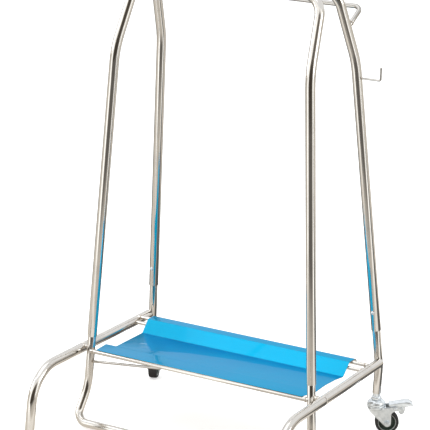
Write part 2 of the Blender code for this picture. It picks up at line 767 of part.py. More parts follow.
def centre_on_floor():
    """Moves the whole trolley so that the origin lies under the middle of its bounding box."""
    for obj in list(PARTS.objects) + list(CUTTERS.objects):
        if obj.parent is None:
            obj.location += ORIGIN_SHIFT


def main():
    tubes, cutters = upper_frames()
    lower_tubes, lower_cutters = lower_frame()
    tubes.update(lower_tubes)
    cutters.update(lower_cutters)
    rail_spigots()
    foot_caps()
    tray_rods(cutters)
    post_spacers(cutters)
    top_ties(cutters)
    push_handle(cutters)
    bag_hook(cutters)
    post_screws(tubes)
    tray()
    casters()
    centre_on_floor()


main()
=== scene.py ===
"""Linen trolley: the finished looks of the tube frames, tray, handle, hook, feet and casters."""

import json
import math

import bmesh
import bpy
from bpy.props import FloatProperty, FloatVectorProperty, IntProperty, PointerProperty
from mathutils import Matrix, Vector


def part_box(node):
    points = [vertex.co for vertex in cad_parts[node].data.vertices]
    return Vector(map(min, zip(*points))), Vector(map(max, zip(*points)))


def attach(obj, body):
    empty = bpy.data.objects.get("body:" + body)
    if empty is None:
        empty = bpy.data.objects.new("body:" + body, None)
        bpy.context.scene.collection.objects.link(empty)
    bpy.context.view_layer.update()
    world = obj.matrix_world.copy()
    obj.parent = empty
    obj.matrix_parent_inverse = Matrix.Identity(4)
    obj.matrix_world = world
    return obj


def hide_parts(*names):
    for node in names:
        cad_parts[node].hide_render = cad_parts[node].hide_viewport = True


bl_info = {
    "name": "Linen Trolley",
    "version": (1, 0, 0),
    "blender": (4, 5, 0),
    "location": "View3D > Sidebar > Linen Trolley",
    "description": "Models the finished surfaces of a tubular linen trolley",
    "category": "Object",
}

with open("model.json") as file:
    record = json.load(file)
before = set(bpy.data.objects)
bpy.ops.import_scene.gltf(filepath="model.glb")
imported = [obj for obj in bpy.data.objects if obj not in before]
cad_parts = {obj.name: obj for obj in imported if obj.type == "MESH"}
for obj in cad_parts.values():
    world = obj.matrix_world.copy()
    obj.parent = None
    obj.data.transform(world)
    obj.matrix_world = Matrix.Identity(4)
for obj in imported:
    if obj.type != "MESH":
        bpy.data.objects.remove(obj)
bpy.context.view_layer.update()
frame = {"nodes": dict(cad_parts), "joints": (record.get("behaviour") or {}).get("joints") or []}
JOINTS = {joint["name"]: joint for joint in frame["joints"]}

MM = 0.001
SIDES = {"left": -1.0, "right": 1.0}

# Where the tubes run, in millimetres from the trolley's own middle plane: (half width, y, z)
FRONT_SLEEVE = (264.8, -116.5, 188.0)
FRONT_BEND = (227.3, -70.0, 804.0)
FRONT_TOP_DIRECTION = Vector((-0.0887, 0.474, 1.0))
REAR_SLEEVE = (276.0, 136.7, 227.0)
REAR_BEND = (231.5, 108.0, 796.0)
REAR_TOP_DIRECTION = Vector((-0.117, -0.347, 1.0))
FRONT_BAR_Z = 946.0
REAR_BAR_Z = 950.0
RAIL_REAR = (286.3, 134.5, 157.0)
RAIL_FRONT = (292.4, -285.0, 157.0)
RAIL_JOINT_Y = -114.0
JOINT_GAP = 2.0
FOOT_END = (293.6, -309.5, 6.5)
REAR_LEG_FOOT = (281.0, 135.0, 88.5)
REAR_LEG_KNEE_Z = 148.0
LOOP_KNEE_Z = 76.0
LOOP_CORNER = (275.0, -167.5, 10.9)
SLEEVE_DEPTH = 52.0 * MM
FRONT_ROD = (-123.8, 157.0)
HOOK_ROD = (88.2, 165.2)
UNDER_ROD = (70.7, 158.9)
HANDLE_FOOT = (227.0, 84.0, 872.0)
HANDLE_CORNER = (230.0, 131.0, 903.0)
HOOK_Z = 763.0
HOOK_REACH_X = 287.0
HOOK_TIP_Z = 790.0
TIE_X = 120.0
SPACER = (-118.8, 163.0)
TRAY_BASE = (46.4, 147.0)
TRAY_WALL_TOP = (72.8, 170.6)
TRAY_LIP_Y = 93.0
TRAY_LIP_R = 12.0

# Bend radii, the cross bars and the weld beads, in metres
POST_BEND_R = 160.0 * MM
TOP_BEND_R = 45.0 * MM
RAIL_BEND_R = 82.0 * MM
LOOP_KNEE_R = 100.0 * MM
LOOP_CORNER_R = 27.0 * MM
REAR_LEG_KNEE_R = 120.0 * MM
HANDLE_BEND_R = 15.0 * MM
HOOK_BEND_R = 4.5 * MM
SPIGOT_REACH = 28.0 * MM
CROSS_BAR_R = 4.0 * MM
ROD_SIDES = 28
ROD_BEAD_R = 1.1 * MM
SMALL_BEAD_R = 0.9 * MM
ACROSS = Vector((1, 0, 0))


def frame_shift():
    """How far the trolley's own middle plane and zero depth lie from the frame's origin."""
    low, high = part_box("front_tray_rod")
    middle = (low + high) / 2
    return Vector((middle.x, middle.y - FRONT_ROD[0] * MM, 0.0))


SHIFT = frame_shift()


def length(name, description, default):
    return FloatProperty(name=name, description=description, default=default, unit="LENGTH")


def colour(name, description, default):
    return FloatVectorProperty(name=name, description=description, default=default, subtype="COLOR")


def angle(name, description, degrees):
    return FloatProperty(name=name, description=description, default=math.radians(degrees), subtype="ANGLE")


class TrolleySizes(bpy.types.PropertyGroup):
    tube_radius: length("Post tube radius", "Outside radius of the posts, rails and front legs", 0.010)
    leg_radius: length("Inner tube radius", "Outside radius of the tubes in the posts", 0.0087)
    tube_wall: length("Tube wall", "Wall thickness of the tubes", 0.001)
    front_rod_radius: length("Front tray rod radius", "Rod under the tray's front edge", 0.0048)
    rear_rod_radius: length("Rear rod radius", "The two rods behind the tray", 0.004)
    grip_radius: length("Handle rod radius", "Radius of the push handle's rod", 0.0048)
    hook_radius: length("Hook wire radius", "Radius of the side hook's wire", 0.002)
    brace_radius: length("Brace radius", "Radius of the thin brace under the tray", 0.0028)
    sheet: length("Sheet thickness", "Thickness of the tray's sheet", 0.0012)
    tube_sides: IntProperty(name="Tube sides", description="Sides of a tube's section", default=40, min=12)


class TrolleyColours(bpy.types.PropertyGroup):
    steel: colour("Steel", "Polished stainless steel", (0.72, 0.70, 0.67))
    film: colour("Film", "Blue film on the tray", (0.0, 0.37, 0.65))
    film_light: colour("Film light", "Lighter patches of the blue film", (0.0, 0.44, 0.71))
    zinc: colour("Zinc", "Bright zinc plate of the casters", (0.86, 0.92, 0.97))
    tyre: colour("Tyre", "Rubber of the wheels and feet", (0.028, 0.028, 0.03))
    hub: colour("Hub", "Moulded plastic of the wheel hubs", (0.035, 0.055, 0.045))
    hub_rim: colour("Hub rim", "Pale ring between the hub and the tyre", (0.42, 0.46, 0.46))
    floor: colour("Floor", "Pale studio floor", (0.93, 0.93, 0.93))


class TrolleyStudio(bpy.types.PropertyGroup):
    azimuth: angle("Azimuth", "Camera angle round the trolley from straight in front", 31.85)
    elevation: angle("Elevation", "Camera angle above the horizon", 17.04)
    distance: length("Distance", "Camera distance from the point it looks at", 4.486)
    aim_x: length("Aim across", "Where the camera looks, from the trolley's middle plane", -0.0323)
    aim_z: length("Aim height", "Height of the point that the camera looks at", 0.4615)
    lens: FloatProperty(name="Lens", description="Focal length in mm on a 36 mm sensor", default=182.3)


def sizes():
    return bpy.context.scene.linen_trolley_sizes


def colours():
    return bpy.context.scene.linen_trolley_colours


def studio():
    return bpy.context.scene.linen_trolley_studio


# Places --------------------------------------------------------------------------------------------


def at(x, y, z):
    """A point given in millimetres from the trolley's middle plane, in the frame."""
    return Vector((x, y, z)) * MM + SHIFT


def on_side(place, side):
    return at(place[0] * side, place[1], place[2])


def along_to_height(start, direction, height):
    return start + direction * ((height - start.z) / direction.z)


def post_line(sleeve, bend, side):
    """(sleeve end, unit direction up the post) on one side."""
    low = on_side(sleeve, side)
    return low, (on_side(bend, side) - low).normalized()


def both_sides(half):
    """A route over the middle plane: the left half up, then the right half down."""
    return [on_side(place, -1.0) for place in half] + [on_side(place, 1.0) for place in reversed(half)]


def corner_at_height(bend, direction, height):
    """The place, in millimetres, where a post's upper stretch reaches a height."""
    return tuple(Vector(bend) + direction * (height - bend[2]))


# Modelling by hand ---------------------------------------------------------------------------------


def deselect_all():
    if bpy.context.mode != "OBJECT":
        bpy.ops.object.mode_set(mode="OBJECT")
    bpy.ops.object.select_all(action="DESELECT")


def select_only(obj):
    deselect_all()
    obj.select_set(True)
    bpy.context.view_layer.objects.active = obj


def start_edit(component="VERT"):
    bpy.ops.object.mode_set(mode="EDIT")
    bpy.ops.mesh.select_mode(type=component)
    bpy.ops.mesh.select_all(action="SELECT")


def push(offset):
    bpy.ops.mesh.extrude_region_move(TRANSFORM_OT_translate={"value": offset})


def sweep_selection(corners, radii, step=4.0):
    """Extrudes what is selected along the corners, and spins it round each bend."""
    here = corners[0]
    for before, corner, after, radius in zip(corners, corners[1:], corners[2:], radii):
        arriving = (corner - before).normalized()
        leaving = (after - corner).normalized()
        turn = arriving.angle(leaving)
        tangent = radius * math.tan(turn / 2)
        centre = corner + (leaving - arriving).normalized() * radius / math.cos(turn / 2)
        push(corner - arriving * tangent - here)
        bpy.ops.mesh.spin(
            steps=max(3, round(math.degrees(turn) / step)),
            angle=-turn,
            center=centre,
            axis=arriving.cross(leaving),
        )
        here = corner + leaving * tangent
    push(corners[-1] - here)


def apply_modifiers(obj):
    select_only(obj)
    for modifier in list(obj.modifiers):
        bpy.ops.object.modifier_apply(modifier=modifier.name)


def soften_edges(obj, width, segments=2, angle=40.0):
    bevel = obj.modifiers.new("edges", "BEVEL")
    bevel.width = width
    bevel.segments = segments
    bevel.limit_method = "ANGLE"
    bevel.angle_limit = math.radians(angle)
    apply_modifiers(obj)


def smooth(obj, angle=35.0):
    select_only(obj)
    bpy.ops.object.shade_smooth_by_angle(angle=math.radians(angle))


def settle(obj):
    """Puts the object's place into its mesh."""
    select_only(obj)
    bpy.ops.object.transform_apply(location=True, rotation=True, scale=True)


def finish_piece(obj, name, material, body, nodes=(), angle=35.0):
    settle(obj)
    smooth(obj, angle)
    obj.name = name
    obj.data.name = name
    obj.data.materials.clear()
    for finish in material if isinstance(material, list) else [material]:
        obj.data.materials.append(finish)
    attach(obj, body)
    if nodes:
        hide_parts(*nodes)
    return obj


def steel_piece(obj, node, ending="_tube", finish="upright"):
    """Finishes a bare steel piece of the rigid frame, which stands for one CAD node."""
    return finish_piece(obj, node + ending, FINISHES[finish], "frame", [node])


def open_ring(start, heading, radius, sides):
    deselect_all()
    turn = heading.to_track_quat("Z", "Y").to_euler()
    bpy.ops.mesh.primitive_circle_add(vertices=sides, radius=radius, location=start, rotation=turn)
    start_edit()
    return bpy.context.active_object


def bent_bar(corners, radii, radius, sides, step=4.0, closed=True, end_bevel=0.5 * MM):
    """A round bar or, if not closed, the skin of a tube, swept along the corners."""
    bar = open_ring(corners[0], (corners[1] - corners[0]).normalized(), radius, sides)
    sweep_selection(corners, radii, step)
    bpy.ops.mesh.select_all(action="SELECT")
    if closed:
        bpy.ops.mesh.fill_holes(sides=0)
        bpy.ops.mesh.select_all(action="SELECT")
    bpy.ops.mesh.normals_make_consistent(inside=False)
    bpy.ops.object.mode_set(mode="OBJECT")
    if closed:
        soften_edges(bar, end_bevel, 3, 60.0)
    return bar


def bent_tube(corners, radii, radius, step=4.0):
    tube = bent_bar(corners, radii, radius, sizes().tube_sides, step, closed=False)
    settle(tube)
    wall = tube.modifiers.new("wall", "SOLIDIFY")
    wall.thickness = sizes().tube_wall
    wall.offset = -1.0
    apply_modifiers(tube)
    soften_edges(tube, 0.25 * MM, 2, 60.0)
    return tube


def lathe(profile, sides=56, closed=False):
    """Rings of (radius, height) about Z, extruded and scaled one after another as on a lathe."""
    deselect_all()
    radius, height = profile[0]
    bpy.ops.mesh.primitive_circle_add(vertices=sides, radius=radius, location=(0.0, 0.0, height))
    turned = bpy.context.active_object
    start_edit()
    for (before_r, before_z), (after_r, after_z) in zip(profile, profile[1:]):
        push((0.0, 0.0, after_z - before_z))
        scale = after_r / before_r
        bpy.ops.transform.resize(value=(scale, scale, 1.0), center_override=(0.0, 0.0, after_z))
    bpy.ops.mesh.select_all(action="DESELECT")
    bpy.ops.mesh.select_non_manifold(extend=False)
    if closed:
        bpy.ops.mesh.bridge_edge_loops()
    else:
        bpy.ops.mesh.fill_holes(sides=0)
    bpy.ops.mesh.select_all(action="SELECT")
    bpy.ops.mesh.normals_make_consistent(inside=False)
    bpy.ops.object.mode_set(mode="OBJECT")
    settle(turned)
    return turned


def another(model, place, turn=(0.0, 0.0, 0.0)):
    """One more piece like the model, with its own mesh, stood at its place."""
    piece = model.copy()
    piece.data = model.data.copy()
    bpy.context.scene.collection.objects.link(piece)
    piece.location = place
    piece.rotation_euler = turn
    return piece


def refined(node, width):
    """A copy of a CAD node with its triangles joined and its edges softened."""
    source = frame["nodes"][node]
    copy = bpy.data.objects.new(node + "_copy", source.data.copy())
    bpy.context.scene.collection.objects.link(copy)
    select_only(copy)
    start_edit()
    bpy.ops.mesh.remove_doubles(threshold=0.01 * MM)
    bpy.ops.mesh.dissolve_limited(angle_limit=math.radians(1.0))
    bpy.ops.object.mode_set(mode="OBJECT")
    soften_edges(copy, width, 2, 45.0)
    return copy


def weld_bead(name, place, heading, ring_radius, bead_radius, seed):
    """A rippled ring of weld where one bar meets another."""
    deselect_all()
    bpy.ops.mesh.primitive_torus_add(
        major_radius=ring_radius,
        minor_radius=bead_radius,
        major_segments=30,
        minor_segments=8,
        location=place,
        rotation=heading.to_track_quat("Z", "Y").to_euler(),
    )
    bead = bpy.context.active_object
    start_edit()
    bpy.ops.transform.vertex_random(offset=bead_radius * 0.22, seed=seed)
    bpy.ops.object.mode_set(mode="OBJECT")
    rounding = bead.modifiers.new("rounding", "SUBSURF")
    rounding.levels = 1
    rounding.render_levels = 1
    apply_modifiers(bead)
    return finish_piece(bead, name, FINISHES["weld"], "frame")


# Finishes ------------------------------------------------------------------------------------------

FINISHES = {}

# How bright the studio looks against the cosine of the angle from the camera's side
GLOW_STRENGTH = 1.6
GLOW_STOPS = (
    (0.0, (0.40, 0.37, 0.325)),
    (0.16, (0.42, 0.39, 0.345)),
    (0.36, (1.0, 1.0, 0.98)),
    (0.62, (1.0, 0.98, 0.94)),
    (0.76, (0.14, 0.12, 0.10)),
    (0.88, (0.055, 0.048, 0.038)),
    (1.0, (0.04, 0.034, 0.027)),
)


def feed(tree, socket, value):
    """Links a socket to another node's output, or gives it a constant."""
    if isinstance(value, bpy.types.NodeSocket):
        tree.links.new(value, socket)
    else:
        socket.default_value = value


def add_node(tree, kind, settings=None, inputs=None):
    node = tree.nodes.new(kind)
    for key, value in (settings or {}).items():
        setattr(node, key, value)
    for key, value in (inputs or {}).items():
        feed(tree, node.inputs[key], value)
    return node


def calculated(tree, operation, first, second):
    return add_node(tree, "ShaderNodeMath", {"operation": operation}, {0: first, 1: second}).outputs[0]


def vector_calculated(tree, operation, inputs, output="Vector"):
    return add_node(tree, "ShaderNodeVectorMath", {"operation": operation}, inputs).outputs[output]


def object_place(tree):
    return add_node(tree, "ShaderNodeTexCoord").outputs["Object"]


def effect_group(name, inputs, outputs):
    """An empty node group with named sockets, given as (name, socket type, default)."""
    group = bpy.data.node_groups.new(name, "ShaderNodeTree")
    for socket_name, kind, default in inputs:
        socket = group.interface.new_socket(socket_name, in_out="INPUT", socket_type=kind)
        socket.default_value = default
    for socket_name, kind in outputs:
        group.interface.new_socket(socket_name, in_out="OUTPUT", socket_type=kind)
    return group, group.nodes.new("NodeGroupInput"), group.nodes.new("NodeGroupOutput")


def drawn_lines_group():
    """Fine lines drawn along a tube by polishing, as a value round one half."""
    group, given, result = effect_group(
        "drawn_lines",
        [("Stretch", "NodeSocketVector", (900.0, 900.0, 14.0)), ("Contrast", "NodeSocketFloat", 0.5)],
        [("Lines", "NodeSocketFloat")],
    )
    scaled = vector_calculated(group, "MULTIPLY", {0: object_place(group), 1: given.outputs["Stretch"]})
    noise = add_node(group, "ShaderNodeTexNoise", inputs={"Vector": scaled, "Scale": 1.0, "Detail": 3.0})
    centred = calculated(group, "SUBTRACT", noise.outputs["Fac"], 0.5)
    spread = add_node(
        group,
        "ShaderNodeMath",
        {"operation": "MULTIPLY_ADD"},
        {0: centred, 1: given.outputs["Contrast"], 2: 0.5},
    )
    feed(group, result.inputs["Lines"], spread.outputs[0])
    return group


def smudges_group():
    """Cloudy handling marks, as a mask from clean 0 to smudged 1."""
    group, given, result = effect_group(
        "smudges",
        [("Scale", "NodeSocketFloat", 18.0), ("Amount", "NodeSocketFloat", 0.5)],
        [("Mask", "NodeSocketFloat")],
    )
    look = {"Vector": object_place(group), "Scale": given.outputs["Scale"], "Detail": 6.0, "Roughness": 0.62}
    noise = add_node(group, "ShaderNodeTexNoise", inputs=look)
    limits = {"Value": noise.outputs["Fac"], "From Min": 0.45, "From Max": 0.68}
    ramp = add_node(group, "ShaderNodeMapRange", {"clamp": True}, limits)
    amount = calculated(group, "MULTIPLY", ramp.outputs["Result"], given.outputs["Amount"])
    feed(group, result.inputs["Mask"], amount)
    return group


def fine_grain_group():
    """Small even grain for a Bump height."""
    group, given, result = effect_group(
        "fine_grain",
        [("Scale", "NodeSocketFloat", 900.0)],
        [("Height", "NodeSocketFloat")],
    )
    look = {"Vector": object_place(group), "Scale": given.outputs["Scale"], "Detail": 4.0, "Roughness": 0.6}
    noise = add_node(group, "ShaderNodeTexNoise", inputs=look)
    feed(group, result.inputs["Height"], noise.outputs["Fac"])
    return group


def studio_glow_group():
    """Brightness round the horizon: dark where the camera stands, bright beside it, warm grey behind."""
    group, given, result = effect_group(
        "studio_glow",
        [("Direction", "NodeSocketVector", (0.0, 0.0, 0.0))],
        [("Color", "NodeSocketColor")],
    )
    azimuth = studio().azimuth
    camera_side = (math.sin(azimuth), -math.cos(azimuth), 0.0)
    toward = vector_calculated(
        group, "DOT_PRODUCT", {0: given.outputs["Direction"], 1: camera_side}, "Value"
    )
    ramp = add_node(group, "ShaderNodeValToRGB", inputs={"Fac": toward})
    stops = ramp.color_ramp.elements
    stops[0].position, stops[0].color = 0.0, (*GLOW_STOPS[0][1], 1.0)
    stops[1].position, stops[1].color = 1.0, (*GLOW_STOPS[-1][1], 1.0)
    for position, glow in GLOW_STOPS[1:-1]:
        stop = stops.new(position)
        stop.color = (*glow, 1.0)
    feed(group, result.inputs["Color"], ramp.outputs["Color"])
    return group


EFFECTS = {}


def use_effect(tree, name, inputs=None):
    return add_node(tree, "ShaderNodeGroup", {"node_tree": EFFECTS[name]}, inputs).outputs[0]


def new_finish(name, inputs):
    """A material with its Principled shader's constant values set, as (material, tree, shader)."""
    material = bpy.data.materials.new(name)
    material.use_nodes = True
    shader = material.node_tree.nodes["Principled BSDF"]
    for key, value in inputs.items():
        shader.inputs[key].default_value = value
    return material, material.node_tree, shader


def as_colour(value):
    """A colour's three channels with full alpha, or a socket as it is."""
    return value if isinstance(value, bpy.types.NodeSocket) else (*value, 1.0)


def mixed_colour(tree, factor, first, second):
    inputs = {"Factor": factor, "A": as_colour(first), "B": as_colour(second)}
    return add_node(tree, "ShaderNodeMix", {"data_type": "RGBA"}, inputs).outputs["Result"]


def ranged(tree, value, low, high):
    node = add_node(tree, "ShaderNodeMapRange", inputs={"Value": value, "To Min": low, "To Max": high})
    return node.outputs["Result"]


def eased(tree, value, from_low, from_high, low, high=1.0):
    """The value carried smoothly from one range to another."""
    limits = {"Value": value, "From Min": from_low, "From Max": from_high, "To Min": low, "To Max": high}
    node = add_node(tree, "ShaderNodeMapRange", {"interpolation_type": "SMOOTHSTEP"}, limits)
    return node.outputs["Result"]


def bumped(tree, height, distance, strength, normal=None):
    inputs = {"Height": height, "Distance": distance, "Strength": strength}
    if normal is not None:
        inputs["Normal"] = normal
    return add_node(tree, "ShaderNodeBump", inputs=inputs).outputs["Normal"]


def darker(shown, factor):
    return tuple(channel * factor for channel in shown)


def polished_steel(name, stretch, shade=1.0):
    """Bright drawn stainless tube: a clear mirror with faint lines, a slow waviness and smudges."""
    # A shade below 1 darkens the steel's colour as painted shade.
    steel = darker(tuple(colours().steel), shade)
    material, tree, shader = new_finish(name, {"Metallic": 1.0})
    lines = use_effect(tree, "drawn_lines", {"Stretch": stretch, "Contrast": 1.0})
    smudge = use_effect(tree, "smudges", {"Scale": 26.0, "Amount": 1.0})
    roughness = calculated(tree, "ADD", ranged(tree, smudge, 0.085, 0.17), ranged(tree, lines, -0.03, 0.04))
    wave = use_effect(tree, "fine_grain", {"Scale": 32.0})
    broad = bumped(tree, wave, 0.25 * MM, 0.35)
    feed(tree, shader.inputs["Base Color"], mixed_colour(tree, smudge, steel, darker(steel, 0.9)))
    feed(tree, shader.inputs["Roughness"], roughness)
    feed(tree, shader.inputs["Normal"], bumped(tree, lines, 0.01 * MM, 0.5, broad))
    return material


def weld_steel():
    """Heat-tinted weld: straw and brown on rough bright metal."""
    material, tree, shader = new_finish("heat_tinted_weld", {"Metallic": 1.0})
    smudge = use_effect(tree, "smudges", {"Scale": 240.0, "Amount": 1.0})
    grain = use_effect(tree, "fine_grain", {"Scale": 700.0})
    tint = mixed_colour(tree, smudge, (0.62, 0.56, 0.48), (0.33, 0.25, 0.19))
    feed(tree, shader.inputs["Base Color"], tint)
    feed(tree, shader.inputs["Roughness"], ranged(tree, smudge, 0.28, 0.5))
    feed(tree, shader.inputs["Normal"], bumped(tree, grain, 0.1 * MM, 0.6))
    return material


def film_on_sheet():
    """Glossy blue protective film, a little uneven, with wrinkles where it was rolled on."""
    film = tuple(colours().film)
    light = tuple(colours().film_light)
    material, tree, shader = new_finish(
        "blue_film",
        {
            "Metallic": 0.78,
            "Specular Tint": (0.06, 0.54, 0.84, 1.0),
            "Coat Weight": 0.28,
            "Coat Roughness": 0.03,
        },
    )
    smudge = use_effect(tree, "smudges", {"Scale": 7.0, "Amount": 1.0})
    streaks = use_effect(tree, "drawn_lines", {"Stretch": (6.0, 160.0, 160.0), "Contrast": 1.0})
    cloud = add_node(
        tree,
        "ShaderNodeMath",
        {"operation": "MULTIPLY_ADD", "use_clamp": True},
        {0: smudge, 1: 0.45, 2: ranged(tree, streaks, 0.1, 0.5)},
    )
    wrinkle = use_effect(tree, "fine_grain", {"Scale": 22.0})
    wrinkled = bumped(tree, wrinkle, 0.5 * MM, 0.22)
    feed(tree, shader.inputs["Base Color"], mixed_colour(tree, cloud.outputs[0], film, light))
    feed(tree, shader.inputs["Roughness"], ranged(tree, smudge, 0.32, 0.42))
    feed(tree, shader.inputs["Normal"], bumped(tree, streaks, 0.03 * MM, 0.4, wrinkled))
    return material


def brushed_underside():
    """Bare rolled sheet under the film."""
    material, tree, shader = new_finish("bare_sheet", {"Metallic": 1.0})
    lines = use_effect(tree, "drawn_lines", {"Stretch": (8.0, 700.0, 700.0), "Contrast": 1.0})
    steel = tuple(colours().steel)
    tint = mixed_colour(tree, lines, darker(steel, 0.7), darker(steel, 0.92))
    feed(tree, shader.inputs["Base Color"], tint)
    feed(tree, shader.inputs["Roughness"], ranged(tree, lines, 0.22, 0.4))
    feed(tree, shader.inputs["Normal"], bumped(tree, lines, 0.02 * MM, 0.5))
    return material


def bright_zinc():
    """Zinc plate: bluish white metal, faintly clouded, with a soft pressed texture."""
    zinc = tuple(colours().zinc)
    material, tree, shader = new_finish("bright_zinc", {"Metallic": 0.6})
    cloud = use_effect(tree, "smudges", {"Scale": 90.0, "Amount": 1.0})
    grain = use_effect(tree, "fine_grain", {"Scale": 420.0})
    feed(tree, shader.inputs["Base Color"], mixed_colour(tree, cloud, zinc, darker(zinc, 0.8)))
    feed(tree, shader.inputs["Roughness"], ranged(tree, cloud, 0.16, 0.26))
    feed(tree, shader.inputs["Normal"], bumped(tree, grain, 0.04 * MM, 0.3))
    return material


def moulded(name, shown, rough_low, rough_high, grain_scale, grain_depth, dust=1.35):
    """Rubber or plastic from a mould: fine grain with paler dusty patches."""
    material, tree, shader = new_finish(name, {"IOR": 1.48})
    cloud = use_effect(tree, "smudges", {"Scale": 70.0, "Amount": 1.0})
    grain = use_effect(tree, "fine_grain", {"Scale": grain_scale})
    feed(tree, shader.inputs["Base Color"], mixed_colour(tree, cloud, shown, darker(shown, dust)))
    feed(tree, shader.inputs["Roughness"], ranged(tree, cloud, rough_low, rough_high))
    feed(tree, shader.inputs["Normal"], bumped(tree, grain, grain_depth, 0.6))
    return material


def make_finishes():
    EFFECTS["drawn_lines"] = drawn_lines_group()
    EFFECTS["smudges"] = smudges_group()
    EFFECTS["fine_grain"] = fine_grain_group()
    EFFECTS["studio_glow"] = studio_glow_group()
    across = 900.0
    along = 14.0
    FINISHES["upright"] = polished_steel("polished_tube_upright", (across, across, along))
    FINISHES["lengthways"] = polished_steel("polished_tube_lengthways", (across, along, across))
    FINISHES["crosswise"] = polished_steel("polished_rod_crosswise", (along, across, across))
    # The thin handle, hook and brace take the same steel darkened to 0.68: painted shade, so the thin rods
    # don't look washed out by the bright room they reflect.
    FINISHES["wire"] = polished_steel("drawn_wire_painted_shade", (260.0, 260.0, 260.0), 0.68)
    FINISHES["weld"] = weld_steel()
    FINISHES["film"] = film_on_sheet()
    FINISHES["underside"] = brushed_underside()
    FINISHES["zinc"] = bright_zinc()
    FINISHES["tyre"] = moulded("tyre_rubber", tuple(colours().tyre), 0.5, 0.7, 500.0, 0.1 * MM)
    FINISHES["foot"] = moulded("foot_rubber_moulded", tuple(colours().tyre), 0.55, 0.75, 350.0, 0.12 * MM)
    FINISHES["hub"] = moulded("hub_moulded", tuple(colours().hub), 0.3, 0.45, 600.0, 0.05 * MM)
    FINISHES["hub_rim"] = moulded("hub_rim_pale", tuple(colours().hub_rim), 0.3, 0.42, 600.0, 0.04 * MM)


# Pieces --------------------------------------------------------------------------------------------


class LINEN_OT_upper_frames(bpy.types.Operator):
    """Bends the two inverted-U upper frames"""

    bl_idname = "linen.upper_frames"
    bl_label = "Upper Frames"

    def execute(self, context):
        shapes = (
            ("front_upper_frame", FRONT_SLEEVE, FRONT_BEND, FRONT_TOP_DIRECTION, FRONT_BAR_Z),
            ("rear_upper_frame", REAR_SLEEVE, REAR_BEND, REAR_TOP_DIRECTION, REAR_BAR_Z),
        )
        for node, sleeve, bend, direction, bar_z in shapes:
            corners = both_sides([sleeve, bend, corner_at_height(bend, direction, bar_z)])
            radii = [POST_BEND_R, TOP_BEND_R, TOP_BEND_R, POST_BEND_R]
            tube = bent_tube(corners, radii, sizes().tube_radius)
            steel_piece(tube, node)
        return {"FINISHED"}


class LINEN_OT_lower_frame(bpy.types.Operator):
    """Bends the front loop, the rear legs, the rails and the front legs"""

    bl_idname = "linen.lower_frame"
    bl_label = "Lower Frame"

    def execute(self, context):
        self.front_loop()
        for label, side in SIDES.items():
            self.rear_leg(label, side)
            self.rail(label, side)
        return {"FINISHED"}

    def front_loop(self):
        routes = []
        for side in (-1.0, 1.0):
            low, up = post_line(FRONT_SLEEVE, FRONT_BEND, side)
            knee = along_to_height(low, up, LOOP_KNEE_Z * MM)
            routes.append([low + up * SLEEVE_DEPTH, knee, on_side(LOOP_CORNER, side)])
        corners = routes[0] + routes[1][::-1]
        radii = [LOOP_KNEE_R, LOOP_CORNER_R, LOOP_CORNER_R, LOOP_KNEE_R]
        steel_piece(bent_tube(corners, radii, sizes().leg_radius), "front_lower_loop")

    def rear_leg(self, label, side):
        low, up = post_line(REAR_SLEEVE, REAR_BEND, side)
        knee = along_to_height(low, up, REAR_LEG_KNEE_Z * MM)
        corners = [on_side(REAR_LEG_FOOT, side), knee, low + up * SLEEVE_DEPTH]
        steel_piece(bent_tube(corners, [REAR_LEG_KNEE_R], sizes().leg_radius), label + "_rear_leg")

    def rail(self, label, side):
        """A side rail, the front leg that carries it on, and the spigot in the joint between them."""
        rear = on_side(RAIL_REAR, side)
        front = on_side(RAIL_FRONT, side)
        slope = (front - rear) / (front.y - rear.y)
        joint = rear + slope * (RAIL_JOINT_Y * MM + SHIFT.y - rear.y)
        gap = slope * JOINT_GAP * MM
        sides = sizes().tube_sides
        rail = bent_bar([rear, joint + gap], [], sizes().tube_radius, sides, end_bevel=1.2 * MM)
        steel_piece(rail, label + "_rail", finish="lengthways")
        corners = [joint, front, on_side(FOOT_END, side)]
        leg = bent_bar(corners, [RAIL_BEND_R], sizes().tube_radius, sides, 3.0, end_bevel=0.9 * MM)
        steel_piece(leg, label + "_front_leg", finish="lengthways")
        reach = slope * SPIGOT_REACH
        spigot = bent_bar([joint + reach, joint - reach], [], sizes().leg_radius, sides)
        # The spigot takes the darker, browner weld finish as painted shade for the shadow in the joint's
        # gap.
        steel_piece(spigot, label + "_rail_spigot", finish="weld")


